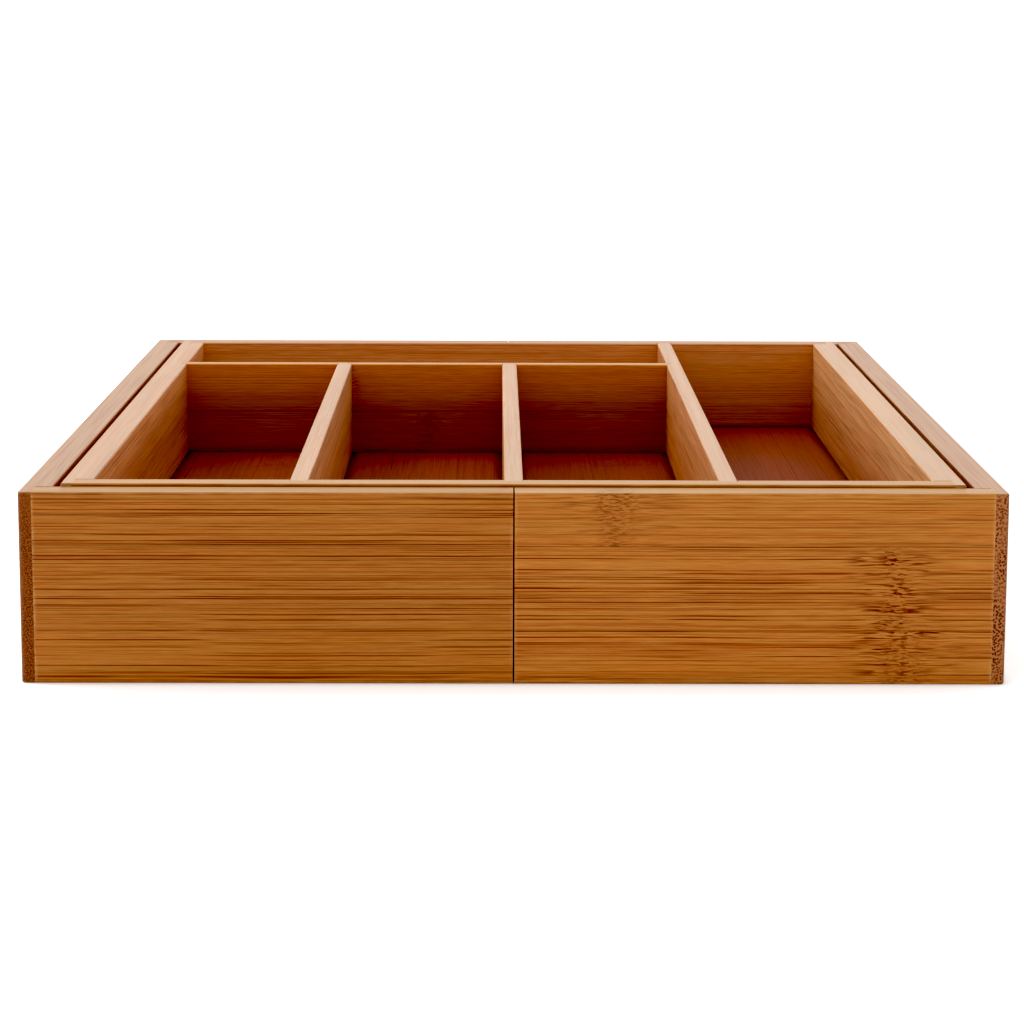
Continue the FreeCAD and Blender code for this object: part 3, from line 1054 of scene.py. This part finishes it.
@dataclass
class HalfTray:
    """One of the two outer halves, which slides out sideways.

    Attributes:
        half: Which half it is.
        seed: The first of the numbers that give its boards canes of their own.
        tone: The colours of its boards.
        streak_length: How far the fibre bundles run on its front, in millimetres.
        strand_share: How strong the finer strands between them are.
        rings: The knuckles on its front board.
        end_ground: The ground of the end grain on the side's lips.
        pore_density: How many pores lie on a millimetre of it.
        shades: The strips of its front board that are darker or lighter, each with its share of light.
        quiet: The strips whose bundles are fainter, each with its share of strength.
    """

    half: Half
    seed: float
    tone: Tone
    streak_length: float
    strand_share: float
    rings: tuple[Knuckle, ...]
    end_ground: Colour
    pore_density: float
    shades: Shares = ()
    quiet: Shares = ()

    @property
    def joint_at(self) -> float:
        """Where its front and its back board meet the side's lips, in millimetres."""
        lowest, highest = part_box(f"{self.half.value}_tray_front")
        return (lowest.x if self.half is Half.LEFT else highest.x) * MM_PER_METRE

    def dress_boards(self) -> None:
        """Dresses the front, the back and the side."""
        side = self.half.value
        ends = (
            (f"{side}_tray_front", self.seed, self.rings, OCHRE, 1.0),
            (f"{side}_tray_back", self.seed + 1.0, (), SHADED_OCHRE, 0.75),
        )
        # back_light paints shade on the faces that look to the back
        for node, seed, rings, pale, back_light in ends:
            dress(node, BambooFinish(
                f"{node}_bamboo", Grain.SIDEWAYS, self.tone, seed, streak_length=self.streak_length,
                strand_share=self.strand_share, knuckles=rings, pale=pale, joint_at=(self.joint_at,),
                shades=self.shades, quiet=self.quiet, back_light=back_light,
            ))
        # The side gets painted shade where it looks sideways
        node = f"{side}_tray_side"
        dress(node, BambooFinish(
            f"{node}_bamboo", Grain.LENGTHWAYS, self.tone, self.seed + 2.0, pale=OUTER_STRAW,
            end_ground=self.end_ground, pore_density=self.pore_density, flank_light=0.70,
        ))

    def dress_inside(self) -> None:
        """Dresses the floor and the two stop keys."""
        side = self.half.value
        node = f"{side}_tray_floor"
        # The boards round the floor, with a painted contact shadow along their feet
        carries = tuple(f"{side}_tray_{part}" for part in ("front", "back", "side"))
        dress(node, BambooFinish(
            f"{node}_bamboo", Grain.FLAT, HALF_FLOOR_TONE, self.seed + 5.0, carries=carries,
        ))
        for offset, end in ((6.0, "front"), (7.0, "back")):
            node = f"{side}_{end}_stop_key"
            tone = self.tone.lit(0.8)
            dress(node, BambooFinish(f"{node}_bamboo", Grain.SIDEWAYS, tone, self.seed + offset))


@dataclass
class Studio:
    """The pale floor, the soft light and the camera.

    Attributes:
        floor_radius: How far the floor reaches, in metres.
        floor_corners: How many corners its round edge has.
        floor_shade: The floor's lightness.
        paint_spread: How far its paint varies about that.
        paint_clouds: How many clouds of paint lie on a metre.
        floor_roughness: How dull the paint is.
        floor_gloss: The strength of its reflections.
        floor_glow: The light that comes up through it.
        glow_edge: Where the glow starts and is full, outside the tray's box, in metres.
        sky_front: The strength of the light from in front.
        sky_back: The strength of the light from behind.
        sky_turn: Where the one passes into the other, from front to back.
        eye: Where the camera stands, in metres.
        pitch: How far it looks down, in degrees.
        yaw: How far it is turned, in degrees.
        roll: How far it leans, in degrees.
        lens: Its focal length, in millimetres.
        film_width: The width of its frame, in millimetres.
        black_point: The light that the picture shows as black.
        key_place: Where the one lamp hangs, in metres.
        key_target: Where it points.
        key_size: Its width, in metres.
        key_power: Its power, in watts.
    """

    floor_radius: float = 60.0
    floor_corners: int = 96
    floor_shade: float = 0.90
    paint_spread: float = 0.03
    paint_clouds: float = 3.0
    floor_roughness: float = 0.8
    floor_gloss: float = 0.2
    floor_glow: float = 0.30
    glow_edge: tuple[float, float] = (-0.002, 0.004)
    sky_front: float = 0.88
    sky_back: float = 1.55
    sky_turn: tuple[float, float] = (-0.7, 0.8)
    eye: tuple[float, float, float] = (-0.00522, -0.9538, 0.1824)
    pitch: float = 9.887
    yaw: float = -0.344
    roll: float = 0.179
    lens: float = 107.08
    film_width: float = 36.0
    black_point: float = 0.03
    key_place: tuple[float, float, float] = (-1.6, 0.5, 1.5)
    key_target: tuple[float, float, float] = (0.0, 0.0, 0.02)
    key_size: float = 1.6
    key_power: float = 26.0

    def lay_floor(self) -> None:
        """Lays a wide round floor with a faint unevenness in its paint."""
        bpy.ops.object.select_all(action="DESELECT")
        bpy.ops.mesh.primitive_circle_add(
            vertices=self.floor_corners, radius=self.floor_radius, fill_type="NGON",
        )
        floor = bpy.context.object
        floor.name = "studio_floor"
        bpy.ops.object.mode_set(mode="EDIT")
        bpy.ops.mesh.select_all(action="SELECT")
        bpy.ops.mesh.inset(thickness=self.floor_radius * 0.5)
        bpy.ops.object.mode_set(mode="OBJECT")
        material = bpy.data.materials.new("studio_floor_paint")
        material.use_nodes = True
        wiring = Wiring(material.node_tree)
        place = wiring.node("ShaderNodeTexCoord")
        cloud = wiring.noise(wiring.stretched(place.outputs["Object"], (self.paint_clouds,) * 3, 0.0), 3.0)
        shade = wiring.scaled(cloud, self.paint_spread, self.floor_shade - self.paint_spread * 0.5)
        shader = wiring.node("ShaderNodeBsdfPrincipled")
        wiring.feed(shader.inputs["Base Color"], wiring.grey(shade))
        wiring.feed(shader.inputs["Roughness"], self.floor_roughness)
        wiring.feed(shader.inputs["Specular IOR Level"], self.floor_gloss)
        wiring.feed(shader.inputs["Emission Color"], (1.0, 1.0, 1.0))
        spot = wiring.parts(place.outputs["Object"])
        gaps = []
        for axis, reach in zip("XY", CAD_BOX[1]):
            gaps.append(wiring.math("SUBTRACT", wiring.math("ABSOLUTE", spot[axis]), reach))
        outside = wiring.ramp(wiring.math("MAXIMUM", *gaps), *self.glow_edge, 0.0, self.floor_glow)
        wiring.feed(shader.inputs["Emission Strength"], outside)
        output = wiring.node("ShaderNodeOutputMaterial")
        wiring.feed(output.inputs["Surface"], shader.outputs[0])
        floor.data.materials.append(material)
        LOG.info("studio floor laid")

    def hang_lights(self) -> None:
        """Lights the tray from all round, and a little more from high on the left."""
        world = bpy.data.worlds.new("studio_sky")
        bpy.context.scene.world = world
        world.use_nodes = True
        wiring = Wiring(world.node_tree)
        direction = wiring.parts(wiring.node("ShaderNodeTexCoord").outputs["Generated"])
        glow = wiring.node("ShaderNodeBackground")
        wiring.feed(glow.inputs["Color"], (1.0, 1.0, 1.0))
        strength = wiring.ramp(direction["Y"], *self.sky_turn, self.sky_front, self.sky_back)
        wiring.feed(glow.inputs["Strength"], strength)
        output = wiring.node("ShaderNodeOutputWorld")
        wiring.feed(output.inputs["Surface"], glow.outputs[0])
        bpy.ops.object.light_add(type="AREA", location=self.key_place)
        key = bpy.context.object
        key.name = "studio_key"
        key.data.shape = "DISK"
        key.data.size = self.key_size
        key.data.energy = self.key_power
        aim = Vector(self.key_target) - key.location
        key.rotation_euler = aim.to_track_quat("-Z", "Y").to_euler()
        LOG.info("studio lights hung")

    def place_camera(self) -> None:
        """Stands the camera where the photograph was taken from."""
        bpy.ops.object.camera_add()
        camera = bpy.context.object
        camera.name = "studio_camera"
        camera.data.sensor_width = self.film_width
        camera.data.lens = self.lens
        camera.data.clip_end = self.floor_radius * 4.0
        turn = Euler((0.0, 0.0, math.radians(self.yaw))).to_matrix()
        tilt = Euler((math.radians(90.0 - self.pitch), 0.0, 0.0)).to_matrix()
        lean = Euler((0.0, 0.0, math.radians(self.roll))).to_matrix()
        camera.matrix_world = Matrix.Translation(self.eye) @ (turn @ tilt @ lean).to_4x4()
        bpy.context.scene.camera = camera
        LOG.info("camera placed")

    def set_picture(self) -> None:
        """Shows colours as they are, with the photograph's deep blacks."""
        view = bpy.context.scene.view_settings
        view.view_transform = "Standard"
        view.look = "None"
        view.use_curve_mapping = True
        view.curve_mapping.black_level = (self.black_point,) * 3
        view.curve_mapping.update()


def main() -> None:
    """Builds the tray's looks and the studio, piece by piece."""
    logging.basicConfig(level=logging.INFO, format="%(message)s")
    centre = CentreTray()
    centre.dress_rim()
    centre.dress_dividers()
    centre.dress_floor()
    right_rings = (Knuckle(1, 27.2, 1.3), Knuckle(0, 99.0), Knuckle(-1, 102.6, 1.3))
    halves = (
        HalfTray(
            Half.LEFT, seed=20.0, tone=LEFT_TONE, streak_length=210.0, strand_share=1.0, rings=(),
            end_ground=LEFT_END, pore_density=2.0,
        ),
        HalfTray(
            Half.RIGHT, seed=30.0, tone=FRONT_TONE.lit(1.06), streak_length=115.0, strand_share=0.85,
            rings=right_rings, end_ground=RIGHT_END, pore_density=1.35, shades=((-1, 1.08),),
            quiet=((1, 0.5),),
        ),
    )
    for half in halves:
        half.dress_boards()
        half.dress_inside()
    studio = Studio()
    studio.lay_floor()
    studio.hang_lights()
    studio.place_camera()
    studio.set_picture()


if __name__ == "__main__":
    main()
